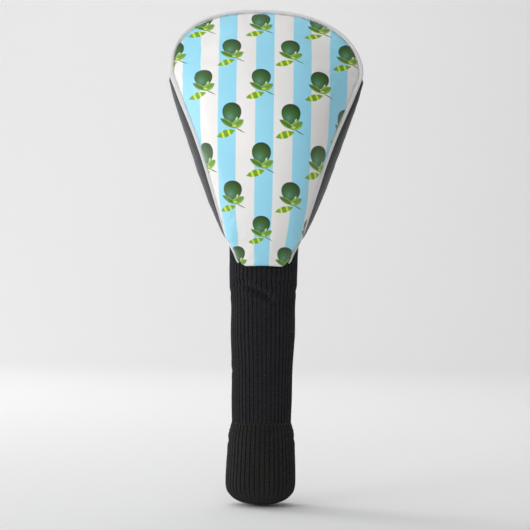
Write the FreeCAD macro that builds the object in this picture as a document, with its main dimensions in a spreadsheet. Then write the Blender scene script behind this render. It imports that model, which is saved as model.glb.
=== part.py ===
import FreeCAD, Part
import math
import os
import Sketcher

# Driver head cover: a padded, printed shell over a rib-knit sock.
# Origin: centre of the shaft opening under the cuff. +Z runs up the shaft, the printed front faces -Y.

V = FreeCAD.Vector
doc = FreeCAD.newDocument("DriverHeadCover")
sheet = doc.addObject("Spreadsheet::Sheet", "Dims")

driving = {
    # the spoon-shaped front
    "cover_length": 353.8, "tip_height": 309.0, "hem_height": 191.0, "tongue_height": 172.0,
    "tongue_half": 15.4, "tongue_corner_height": 174.2, "tongue_corner_half": 17.9,
    "tongue_side_height": 180.0, "tongue_side_half": 20.6, "neck_half": 25.2,
    "side_low_height": 205.0, "side_low_half": 30.0, "side_mid_height": 248.0, "side_mid_half": 43.4,
    "side_high_height": 269.0, "side_high_half": 51.2, "side_brow_height": 290.0, "side_brow_half": 60.2,
    "side_top_height": 301.0, "side_top_half": 64.7, "side_level_height": 314.0,
    "back_hem_height": 184.0, "widest_half": 67.2,
    "crown_power": 2.2, "gusset_bulge": 5.8, "neck_radius": 26.9,
    # side profile of the front: depth of the centre line at a height
    "front_hem_depth": -28.0, "front_low_height": 191.0, "front_low_depth": -46.0,
    "front_mid_height": 225.0, "front_mid_depth": -71.0, "front_peak_height": 268.0,
    "front_peak_depth": -85.0, "front_high_height": 305.0, "front_high_depth": -70.0,
    "front_brow_height": 338.0, "front_brow_depth": -43.5, "ridge_depth": -29.0,
    # side profile of the back
    "back_hem_depth": 27.6, "back_low_height": 215.0, "back_low_depth": 31.0,
    "back_mid_height": 262.0, "back_mid_depth": 33.5, "back_high_height": 308.0,
    "back_high_depth": 24.0, "back_brow_height": 340.0, "back_brow_depth": -4.0,
    # the two seams beside each gusset
    "front_seam_high_depth": -39.0, "front_seam_low_depth": -32.0, "back_seam_high_depth": -9.0,
    "back_seam_low_depth": 4.0, "seam_high_height": 272.0, "seam_low_height": 224.0,
    "seam_hem_depth": 9.0,
    # layers
    "fabric": 1.2, "foam": 4.0, "lining": 1.5, "gusset_fabric": 1.3, "gusset_lining": 1.1,
    "layer_gap": 0.15, "seam_gap": 0.3, "piping_play": 0.8, "padding_start": 206.0, "gusset_padding_start": 202.0,
    "piping_radius": 1.6, "piping_wall": 0.5, "piping_start": 174.5, "thread_radius": 0.3,
    # knit sock
    "knit": 2.0, "sock_top": 198.0, "neck_join": 150.0, "sock_hem_radius": 23.3,
    "sock_neck_radius": 24.2, "sock_neck_height": 166.0, "sock_join_radius": 23.4,
    "sock_waist_radius": 21.2, "sock_waist_height": 62.0, "sock_end": 46.0,
    "binding_height": 9.0, "binding_wall": 0.9,
    # cuff
    "cuff_top": 57.0, "cuff_top_radius": 23.0, "cuff_band_radius": 24.4, "cuff_band_height": 40.0,
    "cuff_low_radius": 25.1, "cuff_low_height": 19.0, "cuff_wall": 2.6, "cuff_fold": 44.0,
    "opening_radius": 6.8, "hem_length": 7.0, "elastic_ring": 9.4, "elastic_radius": 1.1,
    "elastic_channel": 1.3,
}


def fill_sheet(values):
    for row, (alias, value) in enumerate(values.items(), start=1):
        cell = "A" + str(row)
        sheet.set(cell, str(value))
        sheet.setAlias(cell, alias)
    doc.recompute()


fill_sheet(driving)


def dim(alias):
    return float(sheet.get(alias))


nodes = []


def keep(item, label):
    item.Label = label
    nodes.append(item)
    return item


def keep_shape(shape, label):
    item = doc.addObject("Part::Feature", label)
    item.Shape = shape
    item.Placement = FreeCAD.Placement()
    return keep(item, label)


# Shell form

def profile(points):
    """Depth as a smooth function of height, through (height, depth) points."""
    points = sorted(points)
    curve = Part.BSplineCurve()
    heights = [height for height, depth in points]
    curve.interpolate(Points=[V(0, depth, height) for height, depth in points], Parameters=heights)
    return lambda height: curve.value(min(max(height, heights[0]), heights[-1])).y


top = dim("cover_length") - dim("piping_radius")
piping_clear = dim("piping_radius") + dim("piping_play")
plain_clear = dim("seam_gap")
ridge = (top, dim("ridge_depth"))
tip = (dim("tip_height"), dim("ridge_depth"))

front_line = profile([
    (dim("tongue_height"), dim("front_hem_depth")),
    (dim("front_low_height"), dim("front_low_depth")),
    (dim("front_mid_height"), dim("front_mid_depth")),
    (dim("front_peak_height"), dim("front_peak_depth")),
    (dim("front_high_height"), dim("front_high_depth")),
    (dim("front_brow_height"), dim("front_brow_depth")),
    ridge])
back_line = profile([
    (dim("back_hem_height"), dim("back_hem_depth")),
    (dim("back_low_height"), dim("back_low_depth")),
    (dim("back_mid_height"), dim("back_mid_depth")),
    (dim("back_high_height"), dim("back_high_depth")),
    (dim("back_brow_height"), dim("back_brow_depth")),
    ridge])
front_seam_line = profile([
    (dim("hem_height"), -dim("seam_hem_depth")),
    (dim("seam_low_height"), dim("front_seam_low_depth")),
    (dim("seam_high_height"), dim("front_seam_high_depth")),
    tip])
back_seam_line = profile([
    (dim("hem_height"), dim("seam_hem_depth")),
    (dim("seam_low_height"), dim("back_seam_low_depth")),
    (dim("seam_high_height"), dim("back_seam_high_depth")),
    tip])


def below_tip(height):
    """0 at the gusset's upper tip, 1 at the hem."""
    return (dim("tip_height") - height) / (dim("tip_height") - dim("hem_height"))


side_line = profile([
    (dim("tongue_height"), dim("tongue_half")),
    (dim("tongue_corner_height"), dim("tongue_corner_half")),
    (dim("tongue_side_height"), dim("tongue_side_half")),
    (dim("hem_height"), dim("neck_half")),
    (dim("side_low_height"), dim("side_low_half")),
    (dim("side_mid_height"), dim("side_mid_half")),
    (dim("side_high_height"), dim("side_high_half")),
    (dim("side_brow_height"), dim("side_brow_half")),
    (dim("side_top_height"), dim("side_top_half")),
    (dim("tip_height"), dim("widest_half")),
    (dim("side_level_height"), dim("widest_half"))])


def half_width(height):
    """Half the distance between the left and right seams at a height."""
    if height < dim("tip_height"):
        return side_line(height)
    rise = (height - dim("tip_height")) / (top - dim("tip_height"))
    arch = max(1 - min(rise, 1) ** dim("crown_power"), 0) ** (1 / dim("crown_power"))
    return dim("widest_half") * arch


def front_seam(height):
    if height >= dim("hem_height"):
        return half_width(height), front_seam_line(height)
    half = half_width(height)
    return half, -math.sqrt(dim("neck_radius") ** 2 - half ** 2)


def back_seam(height):
    return half_width(max(height, dim("hem_height"))), back_seam_line(height)


def gusset_crest(height):
    half = half_width(height) + dim("piping_radius")
    half += dim("gusset_bulge") * math.sin(math.pi * below_tip(height))
    return half, (front_seam(height)[1] + back_seam(height)[1]) / 2


def arc_data(half, seam_depth, centre_depth):
    """Circle through (-half, seam), (0, centre), (half, seam): its centre depth, radius, half angle."""
    rise = abs(seam_depth - centre_depth)
    radius = (half ** 2 + rise ** 2) / (2 * rise)
    sign = 1 if seam_depth > centre_depth else -1
    middle = centre_depth + sign * radius
    angle = math.acos(max(min((radius - rise) / radius, 1), -1))
    return middle, radius, angle


def steepness(line, height):
    """How much longer a layer is along a level cut than through its own thickness."""
    step = 0.5
    slope = (line(height + step) - line(height - step)) / (2 * step)
    return min(math.sqrt(1 + slope ** 2), 1.7)


def closed_band(outer, inner):
    """A wire round the band between two arcs, each given by three points."""
    edges = [
        Part.Arc(*outer).toShape(),
        Part.LineSegment(outer[2], inner[2]).toShape(),
        Part.Arc(inner[2], inner[1], inner[0]).toShape(),
        Part.LineSegment(inner[0], outer[0]).toShape()]
    return Part.Wire(edges)


def seam_slope(seam, height):
    """How fast the seam moves across and in depth as it climbs."""
    step = 0.2
    half_above, depth_above = seam(height + step)
    half_below, depth_below = seam(height - step)
    return (half_above - half_below) / (2 * step), (depth_above - depth_below) / (2 * step)


def level_gap(seam, height, direction, gap):
    """The gap to leave along a level direction so that the true gap to the seam is kept."""
    across, depth = seam_slope(seam, height)
    along = (across * direction[0] + depth * direction[1]) / math.sqrt(1 + across ** 2 + depth ** 2)
    share = math.sqrt(max(1 - along ** 2, 0.01))
    if height < dim("hem_height"):
        share = max(share, 0.5)
    return gap / share


def panel_arc(height, line, seam, depth, end_gap):
    """Three points of a front or back arc, at a depth below the outer face, or None past its end."""
    half, seam_depth = seam(height)
    centre_depth = line(height)
    if half < 1 or abs(seam_depth - centre_depth) < 0.2:
        return None
    middle, radius, angle = arc_data(half, seam_depth, centre_depth)
    inner_radius = radius - depth * steepness(line, height)
    facing = 1 if centre_depth < seam_depth else -1
    limit = (facing * (middle - seam_depth) + dim("seam_gap")) / inner_radius
    if limit >= 1:
        return None
    direction = (math.cos(angle), facing * math.sin(angle))
    gap = level_gap(seam, height, direction, end_gap)
    reach = min(angle - gap / radius, math.acos(max(limit, -1)))
    points = []
    for turn in (-reach, 0, reach):
        across = inner_radius * math.sin(turn)
        points.append(V(across, middle - facing * inner_radius * math.cos(turn), height))
    return points if reach * inner_radius > 5 else None


def gusset_arc(height, side, depth):
    """Three points of a gusset's arc, at a depth below its outer face."""
    half, front_depth = front_seam(height)
    crest_half, crest_depth = gusset_crest(height)
    back_depth = back_seam(height)[1]
    chord = (back_depth - front_depth) / 2
    if chord < piping_clear:
        return None
    rise = min(crest_half - half, 0.42 * chord)
    crest_half = half + rise
    radius = (chord ** 2 + rise ** 2) / (2 * rise)
    start = front_depth + level_gap(front_seam, height, (0, 1), piping_clear)
    end = back_depth - level_gap(back_seam, height, (0, 1), plain_clear)
    inner_radius = radius - depth
    if end - start < 2 or max(crest_depth - start, end - crest_depth) > 0.95 * inner_radius:
        return None
    points = []
    for place in (start, (start + end) / 2, end):
        turn = math.asin((place - crest_depth) / inner_radius)
        across = crest_half - radius + inner_radius * math.cos(turn)
        points.append(V(side * across, place, height))
    return points


def stations(low, high, count=19):
    """Heights from low to high, closer together at both ends, where the outline turns fastest."""
    shares = [(1 - math.cos(math.pi * i / (count - 1))) / 2 for i in range(count)]
    return [low + (high - low) * share for share in shares]


def highest(low, start, arcs):
    """The greatest height at which both faces still exist."""
    height = start
    while height > low and any(arc(height) is None for arc in arcs):
        height -= 0.25
    return height


def band_loft(label, low, high, outer_arc, inner_arc):
    high = highest(low, high, (outer_arc, inner_arc))
    wires = [closed_band(outer_arc(h), inner_arc(h)) for h in stations(low, high)]
    return keep_shape(Part.makeLoft(wires, True, False), label)


def panel_layer(label, line, seam, low, outer_depth, inner_depth, end_gap):
    return band_loft(
        label, low, top - end_gap,
        lambda h: panel_arc(h, line, seam, outer_depth, end_gap),
        lambda h: panel_arc(h, line, seam, inner_depth, end_gap))


def gusset_layer(label, side, low, outer_depth, inner_depth):
    return band_loft(
        label, low, dim("tip_height"),
        lambda h: gusset_arc(h, side, outer_depth),
        lambda h: gusset_arc(h, side, inner_depth))


# Shell layers

fabric = dim("fabric")
foam_start = fabric + dim("layer_gap")
foam_end = foam_start + dim("foam")
lining_start = foam_end + dim("layer_gap")
lining_end = lining_start + dim("lining")
foam_low = dim("padding_start")

panels = {
    "front": (front_line, front_seam, dim("tongue_height") + 0.1, piping_clear + dim("seam_gap")),
    "back": (back_line, back_seam, dim("back_hem_height"), piping_clear + 2 * dim("seam_gap"))}
for name, (line, seam, low, clear) in panels.items():
    panel_layer(name + "_panel", line, seam, low, 0, fabric, clear)
    panel_layer(name + "_foam", line, seam, foam_low, foam_start, foam_end, clear + 1)
    panel_layer(name + "_lining", line, seam, foam_low, lining_start, lining_end, clear)

gusset_lining_start = dim("gusset_fabric") + dim("layer_gap")
gusset_lining_end = gusset_lining_start + dim("gusset_lining")
for name, side in (("left", -1), ("right", 1)):
    gusset_layer(name + "_gusset", side, dim("hem_height"), 0, dim("gusset_fabric"))
    gusset_layer(
        name + "_gusset_lining", side, dim("gusset_padding_start"),
        gusset_lining_start, gusset_lining_end)


# Piping and stitching

def rounded_path(points):
    """Straight runs joined by tangent arcs, each as large as its two runs allow."""
    edges = []
    here = points[0]
    for before, corner, after in zip(points, points[1:], points[2:]):
        into = (corner - before).normalize()
        out = (after - corner).normalize()
        turn = into.getAngle(out)
        run = min((corner - before).Length, (after - corner).Length)
        if turn < 0.01:
            continue
        setback = 0.45 * run
        start = corner - into * setback
        end = corner + out * setback
        radius = setback / math.tan(turn / 2)
        bisector = (out - into).normalize()
        centre = corner + bisector * (radius / math.cos(turn / 2))
        edges.append(Part.LineSegment(here, start).toShape())
        edges.append(Part.Arc(start, centre - bisector * radius, end).toShape())
        here = end
    edges.append(Part.LineSegment(here, points[-1]).toShape())
    return Part.Wire(edges)


def tube(path, radius):
    start = path.OrderedEdges[0]
    direction = start.tangentAt(start.FirstParameter)
    ring = Part.Wire(Part.makeCircle(radius, start.valueAt(start.FirstParameter), direction))
    body = path.makePipeShell([ring], True, False)
    expected = math.pi * radius ** 2 * path.Length
    print("tube volume", round(body.Volume, 1), "expected", round(expected, 1))
    return body


def seam_points():
    """Points up the right edge of the front, over the top and down the left edge."""
    low = dim("piping_start")
    tip_height = dim("tip_height")
    heights = [low, low + 5, low + 11, low + 20]
    heights += [low + 20 + (tip_height - low - 20) * step / 7 for step in range(1, 8)]
    heights += [tip_height + (top - tip_height) * math.sin(math.radians(turn))
                for turn in (18, 34, 48, 60, 70, 79)]
    right = [V(*front_seam(height), height) for height in heights]
    left = [V(-p.x, p.y, p.z) for p in reversed(right)]
    return right + [V(0, dim("ridge_depth"), top)] + left


seam_path = rounded_path(seam_points())
outer_tube = tube(seam_path, dim("piping_radius"))
bore_tube = tube(seam_path, dim("piping_radius") - dim("piping_wall"))
keep_shape(outer_tube.cut(bore_tube), "front_piping")
cord_radius = dim("piping_radius") - dim("piping_wall") - dim("layer_gap") / 2
keep_shape(tube(seam_path, cord_radius), "front_piping_cord")


# Knit sock

def origin_plane(body, role):
    for feature in body.Origin.OriginFeatures:
        if feature.Role == role:
            return feature


def revolved(label, outline):
    """A body turned about +Z from a closed outline of (radius, height) expressions."""
    body = doc.addObject("PartDesign::Body", label + "_body")
    sketch = body.newObject("Sketcher::SketchObject", label + "_outline")
    sketch.AttachmentSupport = [(origin_plane(body, "XZ_Plane"), "")]
    sketch.MapMode = "FlatFace"
    corners = [[sheet.evalExpression(expression) for expression in corner] for corner in outline]
    corners = [V(float(across), float(height), 0) for across, height in corners]
    count = len(corners)
    for i in range(count):
        sketch.addGeometry(Part.LineSegment(corners[i], corners[(i + 1) % count]), False)
    for i in range(count):
        sketch.addConstraint(Sketcher.Constraint("Coincident", i, 2, (i + 1) % count, 1))
    for i in range(count):
        for kind, value, expression in (
                ("DistanceX", corners[i].x, outline[i][0]), ("DistanceY", corners[i].y, outline[i][1])):
            index = sketch.addConstraint(Sketcher.Constraint(kind, -1, 1, i, 1, value))
            name = kind[-1].lower() + str(i)
            sketch.renameConstraint(index, name)
            sketch.setExpression("Constraints." + name, expression)
    doc.recompute()
    turned = body.newObject("PartDesign::Revolution", label + "_revolution")
    turned.Profile = sketch
    turned.ReferenceAxis = (sketch, ["V_Axis"])
    turned.Angle = 360
    doc.recompute()
    return body


sock_neck = revolved("sock_neck", [
    ("Dims.sock_join_radius - Dims.knit", "Dims.neck_join"),
    ("Dims.sock_join_radius", "Dims.neck_join"),
    ("Dims.sock_neck_radius", "Dims.sock_neck_height"),
    ("Dims.sock_hem_radius", "Dims.tongue_height"),
    ("Dims.sock_hem_radius", "Dims.sock_top"),
    ("Dims.sock_hem_radius - Dims.knit", "Dims.sock_top"),
    ("Dims.sock_hem_radius - Dims.knit", "Dims.tongue_height"),
    ("Dims.sock_neck_radius - Dims.knit", "Dims.sock_neck_height")])
keep(sock_neck, "sock_neck")

neck_binding = revolved("neck_binding", [
    ("Dims.sock_hem_radius - Dims.knit - Dims.layer_gap - Dims.binding_wall",
     "Dims.sock_top - Dims.binding_height"),
    ("Dims.sock_hem_radius - Dims.knit - Dims.layer_gap", "Dims.sock_top - Dims.binding_height"),
    ("Dims.sock_hem_radius - Dims.knit - Dims.layer_gap", "Dims.sock_top + Dims.layer_gap"),
    ("Dims.sock_hem_radius", "Dims.sock_top + Dims.layer_gap"),
    ("Dims.sock_hem_radius", "Dims.sock_top + Dims.layer_gap + Dims.binding_wall"),
    ("Dims.sock_hem_radius - Dims.knit - Dims.layer_gap - Dims.binding_wall",
     "Dims.sock_top + Dims.layer_gap + Dims.binding_wall")])
keep(neck_binding, "neck_binding")

sock_tube = revolved("sock_tube", [
    ("Dims.sock_waist_radius - Dims.knit", "Dims.sock_end"),
    ("Dims.sock_waist_radius", "Dims.sock_end"),
    ("Dims.sock_waist_radius", "Dims.sock_waist_height"),
    ("Dims.sock_join_radius", "Dims.neck_join - Dims.layer_gap"),
    ("Dims.sock_join_radius - Dims.knit", "Dims.neck_join - Dims.layer_gap"),
    ("Dims.sock_waist_radius - Dims.knit", "Dims.sock_waist_height")])
keep(sock_tube, "sock_tube")

cuff_blank = revolved("cuff_blank", [
    ("Dims.opening_radius", "0"),
    ("Dims.opening_radius + 3", "0"),
    ("Dims.cuff_low_radius * 0.64", "Dims.cuff_low_height * 0.22"),
    ("Dims.cuff_low_radius * 0.84", "Dims.cuff_low_height * 0.47"),
    ("Dims.cuff_low_radius * 0.96", "Dims.cuff_low_height * 0.72"),
    ("Dims.cuff_low_radius", "Dims.cuff_low_height"),
    ("Dims.cuff_band_radius", "Dims.cuff_band_height"),
    ("Dims.cuff_top_radius", "Dims.cuff_top"),
    ("Dims.sock_waist_radius + Dims.layer_gap", "Dims.cuff_top"),
    ("Dims.sock_waist_radius + Dims.layer_gap", "Dims.cuff_fold"),
    ("Dims.cuff_low_radius - Dims.cuff_wall", "Dims.cuff_band_height - 2"),
    ("Dims.cuff_low_radius - Dims.cuff_wall", "Dims.cuff_low_height"),
    ("Dims.cuff_low_radius * 0.82", "Dims.cuff_low_height * 0.72"),
    ("Dims.cuff_low_radius * 0.62", "Dims.cuff_low_height * 0.52"),
    ("Dims.opening_radius + 5", "Dims.hem_length"),
    ("Dims.opening_radius", "Dims.hem_length")])


def bound(kind, label, **expressions):
    item = doc.addObject(kind, label)
    for name, expression in expressions.items():
        item.setExpression(name, expression)
    return item


channel = bound(
    "Part::Torus", "elastic_channel_ring", Radius1="Dims.elastic_ring",
    Radius2="Dims.elastic_channel")
channel.setExpression("Placement.Base.z", "Dims.hem_length / 2")
channelled = doc.addObject("Part::Cut", "channelled_cuff")
channelled.Base = cuff_blank
channelled.Tool = channel
keep(channelled, "sock_cuff")
elastic = bound(
    "Part::Torus", "elastic_ring", Radius1="Dims.elastic_ring", Radius2="Dims.elastic_radius")
elastic.setExpression("Placement.Base.z", "Dims.hem_length / 2")
keep(elastic, "cuff_elastic")
stitch = bound(
    "Part::Torus", "stitch_ring", Radius1="Dims.cuff_top_radius + Dims.thread_radius + 0.4",
    Radius2="Dims.thread_radius")
stitch.setExpression("Placement.Base.z", "Dims.cuff_top - 3.5")
keep(stitch, "cuff_stitch")

# Check and write

doc.recompute()
for item in doc.Objects:
    if "Invalid" in item.State or "Error" in item.State:
        raise RuntimeError("failed: " + item.Label)
for node in nodes:
    if node.Shape.isNull() or not node.Shape.isValid():
        raise RuntimeError("bad shape: " + node.Label)

os.makedirs("parts", exist_ok=True)
for node in nodes:
    box = node.Shape.BoundBox
    print(node.Label, len(node.Shape.Solids), "solid, volume", round(node.Shape.Volume),
          "box", [round(v, 1) for v in (box.XMin, box.YMin, box.ZMin, box.XMax, box.YMax, box.ZMax)])
    node.Shape.exportStep("parts/" + node.Label + ".step")
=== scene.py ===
import math
import bpy
import numpy as np
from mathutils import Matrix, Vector, geometry, kdtree, noise


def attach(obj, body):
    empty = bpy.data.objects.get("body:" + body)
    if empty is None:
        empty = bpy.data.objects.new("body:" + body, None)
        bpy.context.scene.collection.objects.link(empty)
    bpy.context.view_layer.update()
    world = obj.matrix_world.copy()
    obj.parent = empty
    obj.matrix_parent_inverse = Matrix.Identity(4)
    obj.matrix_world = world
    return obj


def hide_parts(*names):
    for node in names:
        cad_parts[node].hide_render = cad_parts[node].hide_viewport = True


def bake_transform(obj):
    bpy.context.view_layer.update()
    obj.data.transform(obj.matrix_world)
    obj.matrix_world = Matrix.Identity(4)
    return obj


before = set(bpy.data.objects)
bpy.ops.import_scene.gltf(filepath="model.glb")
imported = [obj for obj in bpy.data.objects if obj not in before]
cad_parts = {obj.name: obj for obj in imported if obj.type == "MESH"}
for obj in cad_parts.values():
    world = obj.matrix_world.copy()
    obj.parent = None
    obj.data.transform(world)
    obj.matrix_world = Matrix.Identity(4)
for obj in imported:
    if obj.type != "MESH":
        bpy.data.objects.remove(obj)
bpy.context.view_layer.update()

# Driver head cover: padded printed shell, piped seams, side gussets, long rib-knit sock.
# Lengths below are millimetres until a mesh is written, and z runs up the club's shaft.
millimetre = 0.001

coverForm = {
    "top": 352.9, "tip": 309.0, "hem": 191.0, "tongue": 172.0, "backHem": 184.0,
    "widestHalf": 67.2, "crownPower": 2.3, "gussetBulge": 6.1, "neckRadius": 26.9, "pipingRadius": 1.75,
    "side": [(172, 15.4), (174.2, 17.9), (180, 20.6), (191, 25.2), (205, 30), (226, 36.5), (248, 43.4),
             (269, 51.2), (290, 60.2), (301, 64.7), (309, 67.2)],
    "frontLine": [(172, -28), (191, -46), (225, -71), (268, -85), (305, -70), (338, -43.5), (352.9, -29)],
    "backLine": [(184, 27.6), (215, 31), (262, 33.5), (308, 24), (340, -4), (352.9, -29)],
    "frontSeam": [(191, -9), (224, -32), (272, -39), (309, -29)],
    "backSeam": [(191, 9), (224, 4), (272, -9), (303, -23.5), (309, -29)],
    "leanStart": 314.0, "leanAmount": 4.6, "leanPower": 1.05,   # the crown sits a little to the left
}


def smoothLine(points):
    # natural cubic through (place, value) pairs, so a seam has no flats
    spots = np.array(sorted(points), float)
    x, y = spots[:, 0], spots[:, 1]
    gap = np.diff(x)
    count = len(x)
    grid = np.zeros((count, count))
    side = np.zeros(count)
    grid[0, 0] = grid[-1, -1] = 1
    for i in range(1, count - 1):
        grid[i, i - 1:i + 2] = gap[i - 1], 2 * (gap[i - 1] + gap[i]), gap[i]
        side[i] = 6 * ((y[i + 1] - y[i]) / gap[i] - (y[i] - y[i - 1]) / gap[i - 1])
    bend = np.linalg.solve(grid, side)

    def line(place):
        place = np.clip(np.asarray(place, float), x[0], x[-1])
        i = np.clip(np.searchsorted(x, place) - 1, 0, count - 2)
        t, h = place - x[i], gap[i]
        slope = (y[i + 1] - y[i]) / h - h * (2 * bend[i] + bend[i + 1]) / 6
        return y[i] + t * slope + bend[i] * t * t / 2 + (bend[i + 1] - bend[i]) * t ** 3 / (6 * h)
    return line


def smoothCurve(points, step):
    # even points on a smooth curve through the given ones
    points = np.array(points, float)
    places = np.concatenate([[0], np.cumsum(np.linalg.norm(np.diff(points, axis=0), axis=1))])
    lines = [smoothLine(list(zip(places, column))) for column in points.T]
    fine = np.stack([line(np.linspace(0, places[-1], 2000)) for line in lines], axis=1)
    return evenPoints(fine, step)


def evenPoints(points, step):
    run = np.concatenate([[0], np.cumsum(np.linalg.norm(np.diff(points, axis=0), axis=1))])
    spots = np.linspace(0, run[-1], max(int(round(run[-1] / step)), 2) + 1)
    return np.stack([np.interp(spots, run, column) for column in points.T], axis=1)


frontLine = smoothLine(coverForm["frontLine"])
backLine = smoothLine(coverForm["backLine"])
sideLine = smoothLine(coverForm["side"] + [(314, coverForm["widestHalf"])])
frontSeamLine = smoothLine(coverForm["frontSeam"])
backSeamLine = smoothLine(coverForm["backSeam"])


def smoothStep(value, low, high):
    t = np.clip((np.asarray(value, float) - low) / (high - low), 0, 1)
    return t * t * (3 - 2 * t)


def halfWidth(z):
    # half the distance between the left and right seams
    z = np.asarray(z, float)
    form = coverForm
    rise = np.clip((z - form["tip"]) / (form["top"] - form["tip"]), 0, 1)
    crown = form["widestHalf"] * (1 - rise ** form["crownPower"]) ** (1 / form["crownPower"])
    return np.where(z >= form["tip"], crown, sideLine(z))


def frontSeamDepth(z):
    below = -np.sqrt(np.clip(coverForm["neckRadius"] ** 2 - halfWidth(z) ** 2, 1, None))
    return np.where(np.asarray(z) >= coverForm["hem"], frontSeamLine(z), below)


def leaned(points):
    # the crown's small lean, shared by every piece of the shell
    form = coverForm
    share = np.clip((points[:, 2] - form["leanStart"]) / (form["top"] - form["leanStart"]), 0, None)
    moved = points.copy()
    moved[:, 0] -= form["leanAmount"] * share ** form["leanPower"]
    return moved


# Materials

def linearColour(code):
    parts = [int(code[i:i + 2], 16) / 255 for i in (1, 3, 5)]
    return [p / 12.92 if p <= 0.04045 else ((p + 0.055) / 1.055) ** 2.4 for p in parts] + [1]


def addNode(tree, kind, inputs=(), **settings):
    # a node with its settings, and each input either linked or given a plain value
    node = tree.nodes.new("ShaderNode" + kind)
    for name, value in settings.items():
        setattr(node, name, value)
    for key, value in (inputs.items() if isinstance(inputs, dict) else enumerate(inputs)):
        if isinstance(value, bpy.types.NodeSocket):
            tree.links.new(value, node.inputs[key])
        elif value is not None:
            node.inputs[key].default_value = value
    return node


def startMaterial(name, shader):
    # an empty material with its main shader, whose plain numbers sit on its own sockets
    material = bpy.data.materials.new(name)
    material.use_nodes = True
    tree = material.node_tree
    tree.nodes.clear()
    main = addNode(tree, "BsdfPrincipled", shader)
    addNode(tree, "OutputMaterial", [main.outputs[0]])
    return material, tree, main


printDesign = {   # millimetres on the cloth
    "stripePeriod": 26.1, "stripeWidth": 12.8, "stripeCentre": -0.8, "edgeSoftness": 0.3,
    "cellWidth": 41.0, "rowSpacing": 28.0, "rowTilt": 0.0175, "columnLean": 0.015,
    "fruitCentre": 19.4, "rowStart": 11.2, "cellBelow": 19.7,
    "fruitSize": (6.6, 7.45), "bloomPlace": (-0.22, -0.42, 0), "bloomFade": 0.72,
    # each shape: tail, tip, half across, edge softness
    "looseLeaf": ((-10.7, -17.0), (2.2, -12.5), 2.5, 0.1), "stem": ((1.8, -10.4), (9.4, -14.5), 0.34, 0.3),
    "leftLeaf": ((1.6, -10.6), (-8.1, -4.3), 2.1, 0.12), "rightLeaf": ((-0.2, -10.8), (8.2, -5.2), 2.9, 0.12),
    "heart": ((0.2, -9.6), (3.4, -9.2), 0.9, 0.4), "fleck": ((2.7, -5.6), (4.0, -3.2), 0.6, 0.3),
    "leafBars": 9.0, "barsBetween": (0.62, 0.3),
}

printInks = {
    "white": "#F1F0EE", "blue": "#9CE0F8", "looseLeaf": "#6C9E1E", "looseRim": "#A4CC3C", "yellow": "#D9EE3E",
    "stem": "#3E5A2E", "rindEdge": "#19392A", "heart": "#C4DC60", "fleck": "#D8E8B8",
    "leftLeaf": ("#4E7A1E", "#8DB84C"), "rightLeaf": ("#6C9E34", "#A9CB68"),
    "rind": ((0.0, "#5F957A"), (0.25, "#4A7C54"), (0.5, "#3A6A2E"), (0.78, "#34581A"), (1.0, "#1E3E16")),
}


def leafShape(tree, place, tail, tip, halfAcross, softness):
    # an almond shape from tail to tip: its cover, and how far along and across a point lies
    along = Vector(tip) - Vector(tail)
    middle = (Vector(tip) + Vector(tail)) / 2
    own = addNode(tree, "Mapping", {
        "Vector": place, "Location": (middle.x, middle.y, 0), "Rotation": (0, 0, math.atan2(along.y, along.x)),
        "Scale": (along.length / 2, halfAcross, 1)}, vector_type="TEXTURE")
    split = addNode(tree, "SeparateXYZ", [own.outputs[0]])
    square = addNode(tree, "Math", [split.outputs[0], split.outputs[0]], operation="MULTIPLY")
    side = addNode(tree, "Math", [split.outputs[1]], operation="ABSOLUTE")
    total = addNode(tree, "Math", [square.outputs[0], side.outputs[0]], operation="ADD")
    cover = addNode(tree, "MapRange", [total.outputs[0], 1 - softness, 1 + softness, 1, 0])
    return cover.outputs[0], split.outputs[0], side.outputs[0]


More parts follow.
